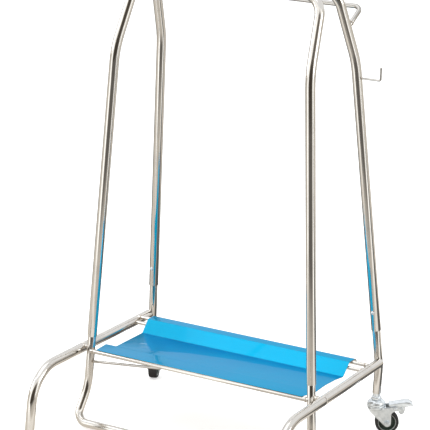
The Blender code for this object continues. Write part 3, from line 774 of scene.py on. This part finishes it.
class LINEN_OT_cross_rods(bpy.types.Operator):
    """Adds the tray's rods, the thin brace, the post spacers and the top ties, with their welds"""

    bl_idname = "linen.cross_rods"
    bl_label = "Cross Rods"

    def execute(self, context):
        self.rod("front_tray_rod", FRONT_ROD, 264.0, sizes().front_rod_radius, 257.8)
        self.rod("rear_hook_rod", HOOK_ROD, 284.0, sizes().rear_rod_radius, 277.4)
        self.rod("rear_under_rod", UNDER_ROD, 284.0, sizes().rear_rod_radius, 277.6)
        self.brace()
        for label, side in SIDES.items():
            self.spacer(label, side)
            self.top_tie(label, side)
        return {"FINISHED"}

    def bar(self, node, ends, radius, finish="crosswise"):
        steel_piece(bent_bar(ends, [], radius, ROD_SIDES), node, "_bar", finish)

    def rod(self, node, place, half_length, radius, weld_x):
        self.bar(node, [at(-half_length, *place), at(half_length, *place)], radius)
        for label, side in SIDES.items():
            name = node + "_" + label + "_weld"
            weld_bead(name, at(weld_x * side, *place), ACROSS, radius, ROD_BEAD_R, len(name))

    def brace(self):
        start = at(-266.0, FRONT_ROD[0] + 1.0, 132.8)
        end = at(-88.0, FRONT_ROD[0], 152.8)
        self.bar("front_left_brace", [start, end], sizes().brace_radius, "wire")
        heading = (end - start).normalized()
        weld_bead("front_left_brace_weld", at(-259.3, -122.8, 133.6), heading, 2.9 * MM, SMALL_BEAD_R, 5)

    def spacer(self, label, side):
        ends = [at(268.0 * side, *SPACER), at(289.0 * side, *SPACER)]
        self.bar(label + "_post_spacer", ends, CROSS_BAR_R)
        for end, x in (("inner", 275.0), ("outer", 281.3)):
            name = label + "_spacer_" + end + "_weld"
            weld_bead(name, at(x * side, *SPACER), ACROSS, CROSS_BAR_R, SMALL_BEAD_R, len(name))

    def top_tie(self, label, side):
        front = corner_at_height(FRONT_BEND, FRONT_TOP_DIRECTION, FRONT_BAR_Z)
        rear = corner_at_height(REAR_BEND, REAR_TOP_DIRECTION, REAR_BAR_Z)
        ends = [at(TIE_X * side, *front[1:]), at(TIE_X * side, *rear[1:])]
        self.bar(label + "_top_tie", ends, CROSS_BAR_R)
        heading = (ends[1] - ends[0]).normalized()
        reach = heading * sizes().tube_radius * 1.02
        for end, place in (("front", ends[0] + reach), ("rear", ends[1] - reach)):
            weld_bead(label + "_top_tie_" + end + "_weld", place, heading, 4.1 * MM, 1.0 * MM, 3)


class LINEN_OT_push_handle(bpy.types.Operator):
    """Bends the push handle and welds it to the rear posts"""

    bl_idname = "linen.push_handle"
    bl_label = "Push Handle"

    def execute(self, context):
        corners = both_sides([HANDLE_FOOT, HANDLE_CORNER])
        bar = bent_bar(corners, [HANDLE_BEND_R, HANDLE_BEND_R], sizes().grip_radius, 32, 6.0)
        steel_piece(bar, "push_handle", "_bar", "wire")
        for label, side in SIDES.items():
            foot = on_side(HANDLE_FOOT, side)
            heading = (on_side(HANDLE_CORNER, side) - foot).normalized()
            place = foot + heading * 9.0 * MM
            weld_bead("push_handle_" + label + "_weld", place, heading, 4.9 * MM, 1.2 * MM, 7)
        return {"FINISHED"}


class LINEN_OT_side_hook(bpy.types.Operator):
    """Bends the small hook on the right rear post"""

    bl_idname = "linen.side_hook"
    bl_label = "Side Hook"

    def execute(self, context):
        low, up = post_line(REAR_SLEEVE, REAR_BEND, 1.0)
        start = along_to_height(low, up, HOOK_Z * MM)
        elbow = Vector((at(HOOK_REACH_X, 0, 0).x, start.y, HOOK_Z * MM))
        tip = Vector((elbow.x + 0.5 * MM, start.y, HOOK_TIP_Z * MM))
        wire = bent_bar([start, elbow, tip], [HOOK_BEND_R], sizes().hook_radius, 24, 9.0, end_bevel=0.8 * MM)
        steel_piece(wire, "side_hook", "_wire", "wire")
        root = start + Vector((sizes().tube_radius, 0.0, 0.0))
        weld_bead("side_hook_weld", root, ACROSS, 2.2 * MM, SMALL_BEAD_R, 9)
        return {"FINISHED"}


def width_at(outline, y):
    """The outline's x at a depth, along straight stretches between its (y, x) points."""
    for (y_before, x_before), (y_after, x_after) in zip(outline, outline[1:]):
        if y <= y_after:
            share = max(0.0, (y - y_before) / (y_after - y_before))
            return x_before + (x_after - x_before) * share
    return outline[-1][1]


class LINEN_OT_tray(bpy.types.Operator):
    """Folds the sheet tray with its blue film"""

    bl_idname = "linen.tray"
    bl_label = "Tray"

    # The front strip that the sheet is pushed out from, and how far along the floor each row lies
    STRIP_WIDTH = 500.0 * MM
    STRIP_DEPTH = 0.5 * MM
    ROWS = (0.14, 0.2768, 0.286, 0.2905, 0.42, 0.5536, 0.70, 0.836)
    # (y, x) of the side edges: a tab at the front on both sides, and a notch behind the left one
    LEFT_EDGE = [(-128, -247), (-77.15, -257), (-76.85, -231), (46, -247), (74, -249), (130, -249)]
    RIGHT_EDGE = [(-128, 250), (-79, 256), (-31, 249), (18, 246.5), (47, 249), (130, 249)]

    def execute(self, context):
        corners = [(-127.0, 162.85), TRAY_BASE, TRAY_WALL_TOP, (TRAY_LIP_Y, TRAY_WALL_TOP[1])]
        points = [at(0.0, *corner) for corner in corners]
        deselect_all()
        bpy.ops.mesh.primitive_plane_add(size=1.0, location=at(0.0, -127.25, 162.87))
        sheet = bpy.context.active_object
        sheet.scale = (self.STRIP_WIDTH, self.STRIP_DEPTH, 1.0)
        settle(sheet)
        self.select_rear_edge(sheet)
        floor_run = points[1] - points[0]
        before = 0.0
        for row in self.ROWS:
            push(floor_run * (row - before))
            before = row
        start = points[0] + floor_run * before
        sweep_selection([start] + points[1:], [5.0 * MM, 2.5 * MM], 8.0)
        bpy.ops.mesh.spin(steps=14, angle=math.radians(100.0), center=self.lip_centre(), axis=ACROSS)
        bpy.ops.mesh.select_all(action="SELECT")
        bpy.ops.mesh.normals_make_consistent(inside=False)
        bpy.ops.object.mode_set(mode="OBJECT")
        self.trim_sides(sheet)
        thickness = sheet.modifiers.new("sheet", "SOLIDIFY")
        thickness.thickness = sizes().sheet
        thickness.offset = 0.0
        thickness.use_even_offset = True
        apply_modifiers(sheet)
        soften_edges(sheet, 0.3 * MM, 2, 50.0)
        surfaces = [FINISHES["film"], FINISHES["underside"]]
        finish_piece(sheet, "tray_sheet", surfaces, "tray", ["tray"])
        self.bare_underside(sheet)
        return {"FINISHED"}

    def lip_centre(self):
        return at(0.0, TRAY_LIP_Y, TRAY_WALL_TOP[1] - TRAY_LIP_R)

    def select_rear_edge(self, sheet):
        start_edit()
        bpy.ops.mesh.select_all(action="DESELECT")
        bpy.ops.object.mode_set(mode="OBJECT")
        rear_y = max(vertex.co.y for vertex in sheet.data.vertices)
        for vertex in sheet.data.vertices:
            vertex.select = vertex.co.y > rear_y - 0.01 * MM
        bpy.ops.object.mode_set(mode="EDIT")

    def trim_sides(self, sheet):
        """Moves the sheet's side points out or in to its outline."""
        select_only(sheet)
        start_edit()
        for index in range(len(sheet.data.vertices)):
            bpy.ops.mesh.select_all(action="DESELECT")
            mesh = bmesh.from_edit_mesh(sheet.data)
            mesh.verts.ensure_lookup_table()
            corner = mesh.verts[index]
            corner.select = True
            outline = self.LEFT_EDGE if corner.co.x < SHIFT.x else self.RIGHT_EDGE
            edge = width_at(outline, (corner.co.y - SHIFT.y) / MM) * MM + SHIFT.x
            bpy.ops.transform.translate(value=(edge - corner.co.x, 0.0, 0.0))
        bpy.ops.object.mode_set(mode="OBJECT")

    def bare_underside(self, sheet):
        """The film covers the upper side only: downward faces of the floor and the lip's inside are bare."""
        lip_centre = self.lip_centre()
        for face in sheet.data.polygons:
            if face.center.y > lip_centre.y:
                inward = lip_centre - face.center
                inward.x = 0.0
                face.material_index = int(face.normal.dot(inward) > 0.0)
            else:
                face.material_index = int(face.normal.z < -0.2)


class LINEN_OT_feet(bpy.types.Operator):
    """Softens the edges of the front legs' rubber foot caps"""
    bl_idname = "linen.feet"
    bl_label = "Feet"

    def execute(self, context):
        for label, side in SIDES.items():
            node = label + "_foot_cap"
            cap = refined(node, 0.8 * MM)
            finish_piece(cap, node + "_moulding", FINISHES["foot"], "frame", [node], 50.0)
        return {"FINISHED"}


class LINEN_OT_post_screws(bpy.types.Operator):
    """Rounds the dome-head screws of the sleeve joints"""

    bl_idname = "linen.post_screws"
    bl_label = "Post Screws"

    def execute(self, context):
        for end in ("front", "rear"):
            for label in SIDES:
                node = end + "_" + label + "_post_screw"
                screw = refined(node, 0.15 * MM)
                finish_piece(screw, node + "_head", FINISHES["zinc"], "frame", [node], 60.0)
        return {"FINISHED"}


def mirrored_profile(half):
    """A closed profile in metres from its upper half in millimetres."""
    whole = half + [(radius, -height) for radius, height in reversed(half)]
    return [(radius * MM, height * MM) for radius, height in whole]


class LINEN_OT_casters(bpy.types.Operator):
    """Turns the caster stems, cups, wheels and hubs, and softens the pressed forks and pedals"""

    bl_idname = "linen.casters"
    bl_label = "Casters"

    def execute(self, context):
        models = {"stem": self.stem(), "cup": self.cup()}
        models.update(hub=self.hub(), rim=self.rim(), tyre=self.tyre())
        for label in SIDES:
            swivel = Vector(JOINTS[label + "_caster_swivel"]["pos_m"])
            axle = Vector(JOINTS[label + "_wheel_spin"]["pos_m"])
            self.place_upper(label, models, Vector((swivel.x, swivel.y, 0.0)))
            self.place_wheel(label, models, axle, math.atan2(axle.y - swivel.y, axle.x - swivel.x))
            self.pressings(label)
        for model in models.values():
            bpy.data.objects.remove(model)
        return {"FINISHED"}

    def stem(self):
        top = REAR_LEG_FOOT[2]
        profile = [(5.0, top + 21), (5.6, top + 20), (5.6, top + 3.5), (7.1, top + 3.5), (7.1, top - 5.8)]
        profile += [(8.9, top - 6.3), (10.2, top - 7.4), (10.6, top - 8.8), (10.6, 75.6), (10.2, 75.0)]
        profile += [(5.2, 75.0), (5.2, 52.4), (7.9, 52.4), (7.3, 50.8), (6.0, 50.4)]
        return lathe([(radius * MM, height * MM) for radius, height in profile], 40)

    def cup(self):
        outer = [(5.5, 74.7), (10.4, 74.7), (12.4, 74.4), (14.4, 73.5), (16.2, 72.1), (17.6, 70.3)]
        outer += [(18.5, 68.4), (18.9, 66.6), (18.9, 64.6), (18.6, 63.9), (18.2, 63.6), (18.8, 63.2)]
        outer += [(19.1, 62.6), (19.1, 60.7), (18.8, 60.4)]
        inner = [(17.2, 60.4), (17.2, 66.7), (15.6, 69.7), (13.2, 71.6), (10.2, 72.7), (5.5, 72.7)]
        return lathe([(radius * MM, height * MM) for radius, height in outer + inner], 56, closed=True)

    def hub(self):
        half = [(3.2, 10.6), (6.0, 10.6), (6.4, 10.2), (6.7, 7.0), (7.4, 4.4), (8.6, 3.8)]
        half += [(14.4, 3.6), (15.4, 4.4), (16.0, 6.8), (16.6, 7.5), (17.4, 7.7)]
        return lathe(mirrored_profile(half), 56, closed=True)

    def rim(self):
        half = [(17.5, 7.8), (18.0, 8.3), (18.9, 8.4), (19.1, 8.0)]
        return lathe(mirrored_profile(half), 56, closed=True)

    def tyre(self):
        half = [(19.15, 8.3), (19.4, 8.9), (20.4, 9.35), (21.6, 9.45), (22.9, 9.2), (23.9, 8.5)]
        half += [(24.5, 7.4), (24.85, 5.8), (24.97, 3.6), (25.0, 1.2)]
        return lathe(mirrored_profile(half), 72, closed=True)

    def place_upper(self, label, models, place):
        for part, ending in (("stem", "_turned"), ("cup", "_pressing")):
            node = label + "_caster_" + part
            piece = another(models[part], place)
            finish_piece(piece, node + ending, FINISHES["zinc"], "frame", [node])

    def place_wheel(self, label, models, axle, heading):
        shapes = (
            ("hub", "_hub_moulding", "hub", "hub_plastic", [label + "_wheel_hub"]),
            ("rim", "_hub_rim", "hub_rim", "hub_plastic", []),
            ("tyre", "_tyre_moulding", "tyre", "black_tyre", [label + "_tyre"]),
        )
        for part, ending, finish, slot, nodes in shapes:
            piece = another(models[part], axle, (math.radians(90.0), 0.0, heading))
            finish_piece(piece, label + ending, FINISHES[finish], label + "_wheel", nodes)

    def pressings(self, label):
        swivel = label + "_swivel"
        brake = label + "_brake"
        shapes = (
            ("_fork", "_pressing", 0.45 * MM, swivel),
            ("_ball_ring", "_turned", 0.1 * MM, swivel),
            ("_axle_bolt", "_turned", 0.3 * MM, swivel),
            ("_axle_nut", "_turned", 0.35 * MM, swivel),
            ("_pedal_rivet", "_turned", 0.15 * MM, swivel),
            ("_brake_pedal", "_pressing", 0.6 * MM, brake),
            ("_shoe_rivet", "_turned", 0.15 * MM, brake),
        )
        for part, ending, width, body in shapes:
            node = label + part
            piece = refined(node, width)
            finish_piece(piece, node + ending, FINISHES["zinc"], body, [node], 40.0)


class LINEN_OT_studio(bpy.types.Operator):
    """Sets the pale floor, the soft lights, the surroundings and the camera"""

    bl_idname = "linen.studio"
    bl_label = "Studio"

    def execute(self, context):
        self.floor()
        self.surroundings()
        self.lights()
        self.camera()
        context.scene.view_settings.view_transform = "Standard"
        return {"FINISHED"}

    def floor(self):
        """A floor that looks white, and that polished tube reflects as pale near by and dark far off."""
        deselect_all()
        bpy.ops.mesh.primitive_plane_add(size=1.0, location=(0.0, 0.0, -0.0005))
        floor = bpy.context.active_object
        floor.name = "studio_floor"
        floor.scale = (16.0, 16.0, 1.0)
        settle(floor)
        material, tree, shader = new_finish("pale_floor", {"Roughness": 0.9, "Emission Strength": 1.0})
        azimuth = studio().azimuth
        behind = (-math.sin(azimuth), math.cos(azimuth), 0.0)
        place = object_place(tree)
        heading = vector_calculated(tree, "NORMALIZE", {0: place})
        glow = use_effect(tree, "studio_glow", {"Direction": heading})
        reach = vector_calculated(tree, "LENGTH", {0: place}, "Value")
        away = vector_calculated(tree, "DOT_PRODUCT", {0: heading, 1: behind}, "Value")
        shade = eased(tree, away, 0.74, 0.93, 1.0, 0.16)
        room = vector_calculated(tree, "SCALE", {0: glow, "Scale": shade})
        reflected = mixed_colour(tree, eased(tree, reach, 0.4, 1.4, 0.25), (0.48, 0.44, 0.385), room)
        # Painted shade: a dark strip across the floor's glow at depth 0.24 to 0.64 m, which only reflections
        # see, paints the dark line along the rails.
        depth = add_node(tree, "ShaderNodeSeparateXYZ", inputs={0: place})
        offset = calculated(tree, "SUBTRACT", depth.outputs["Y"], 0.44)
        distance = add_node(tree, "ShaderNodeMath", {"operation": "ABSOLUTE"}, {0: offset})
        painted_shade_strip = eased(tree, distance.outputs[0], 0.2, 0.32, 0.08)
        strength = calculated(tree, "MULTIPLY", painted_shade_strip, GLOW_STRENGTH)
        bright = vector_calculated(tree, "SCALE", {0: reflected, "Scale": strength})
        seen = add_node(tree, "ShaderNodeLightPath").outputs["Is Camera Ray"]
        cloud = use_effect(tree, "smudges", {"Scale": 2.0, "Amount": 1.0})
        pale = tuple(colours().floor)
        tint = mixed_colour(tree, cloud, pale, darker(pale, 0.99))
        shown = mixed_colour(tree, seen, bright, (0.46, 0.46, 0.46))
        feed(tree, shader.inputs["Emission Color"], shown)
        feed(tree, shader.inputs["Base Color"], mixed_colour(tree, seen, (0.05, 0.05, 0.05), tint))
        floor.data.materials.append(material)

    def surroundings(self):
        """A white room that is dark where the camera stands, as polished tube shows it."""
        world = bpy.data.worlds.new("studio_room")
        bpy.context.scene.world = world
        world.use_nodes = True
        tree = world.node_tree
        sky = tree.nodes["Background"]
        sky.inputs["Strength"].default_value = GLOW_STRENGTH
        direction = add_node(tree, "ShaderNodeTexCoord").outputs["Generated"]
        glow = use_effect(tree, "studio_glow", {"Direction": direction})
        azimuth = studio().azimuth
        upward = (-0.6 * math.sin(azimuth), 0.6 * math.cos(azimuth), 1.0)
        height = vector_calculated(tree, "DOT_PRODUCT", {0: direction, 1: upward}, "Value")
        limits = {"Value": height, "From Min": 0.28, "From Max": 0.52}
        above = add_node(tree, "ShaderNodeMapRange", {"clamp": True}, limits)
        overhead = mixed_colour(tree, above.outputs["Result"], glow, (0.62, 0.62, 0.62))
        seen = add_node(tree, "ShaderNodeLightPath").outputs["Is Camera Ray"]
        white = 1.0 / GLOW_STRENGTH
        feed(tree, sky.inputs["Color"], mixed_colour(tree, seen, overhead, (white, white, white)))

    def lights(self):
        """Large soft boxes overhead and on both sides: (name, place, size, power)."""
        boxes = (
            ("overhead_softbox", (-1.1, -0.4, 3.4), 3.0, 22.0),
            ("left_softbox", (-3.2, -1.6, 1.8), 1.6, 20.0),
            ("right_softbox", (3.4, 0.6, 1.6), 1.2, 14.0),
        )
        aim = Vector((0.0, 0.0, 0.4))
        for name, place, size, power in boxes:
            data = bpy.data.lights.new(name, "AREA")
            data.size = size
            data.energy = power
            light = bpy.data.objects.new(name, data)
            bpy.context.scene.collection.objects.link(light)
            light.location = place
            light.rotation_euler = (aim - light.location).to_track_quat("-Z", "Y").to_euler()
            light.visible_camera = False

    def camera(self):
        view = studio()
        aim = Vector((view.aim_x, 0.0, view.aim_z)) + SHIFT
        flat = math.cos(view.elevation)
        outward = Vector(
            (math.sin(view.azimuth) * flat, -math.cos(view.azimuth) * flat, math.sin(view.elevation))
        )
        data = bpy.data.cameras.new("trolley_camera")
        data.sensor_width = 36.0
        data.lens = view.lens
        camera = bpy.data.objects.new("trolley_camera", data)
        bpy.context.scene.collection.objects.link(camera)
        camera.location = aim + outward * view.distance
        camera.rotation_euler = (-outward).to_track_quat("-Z", "Y").to_euler()
        bpy.context.scene.camera = camera


class LINEN_PT_panel(bpy.types.Panel):
    """The trolley's pieces, in the order they are made"""

    bl_idname = "LINEN_PT_panel"
    bl_label = "Linen Trolley"
    bl_space_type = "VIEW_3D"
    bl_region_type = "UI"
    bl_category = "Linen Trolley"

    def draw(self, context):
        layout = self.layout
        for group in (context.scene.linen_trolley_sizes, context.scene.linen_trolley_colours):
            for name in group.__annotations__:
                layout.prop(group, name)
        for operator in OPERATORS:
            layout.operator(operator.bl_idname)


OPERATORS = (
    LINEN_OT_upper_frames,
    LINEN_OT_lower_frame,
    LINEN_OT_cross_rods,
    LINEN_OT_push_handle,
    LINEN_OT_side_hook,
    LINEN_OT_tray,
    LINEN_OT_feet,
    LINEN_OT_post_screws,
    LINEN_OT_casters,
    LINEN_OT_studio,
)
CLASSES = (TrolleySizes, TrolleyColours, TrolleyStudio) + OPERATORS + (LINEN_PT_panel,)


def register():
    for cls in CLASSES:
        bpy.utils.register_class(cls)
    bpy.types.Scene.linen_trolley_sizes = PointerProperty(type=TrolleySizes)
    bpy.types.Scene.linen_trolley_colours = PointerProperty(type=TrolleyColours)
    bpy.types.Scene.linen_trolley_studio = PointerProperty(type=TrolleyStudio)


def unregister():
    del bpy.types.Scene.linen_trolley_studio
    del bpy.types.Scene.linen_trolley_colours
    del bpy.types.Scene.linen_trolley_sizes
    for cls in reversed(CLASSES):
        bpy.utils.unregister_class(cls)


def main():
    register()
    make_finishes()
    bpy.ops.linen.upper_frames()
    bpy.ops.linen.lower_frame()
    bpy.ops.linen.cross_rods()
    bpy.ops.linen.push_handle()
    bpy.ops.linen.side_hook()
    bpy.ops.linen.tray()
    bpy.ops.linen.feet()
    bpy.ops.linen.post_screws()
    bpy.ops.linen.casters()
    bpy.ops.linen.studio()
    deselect_all()


if __name__ == "__main__":
    main()
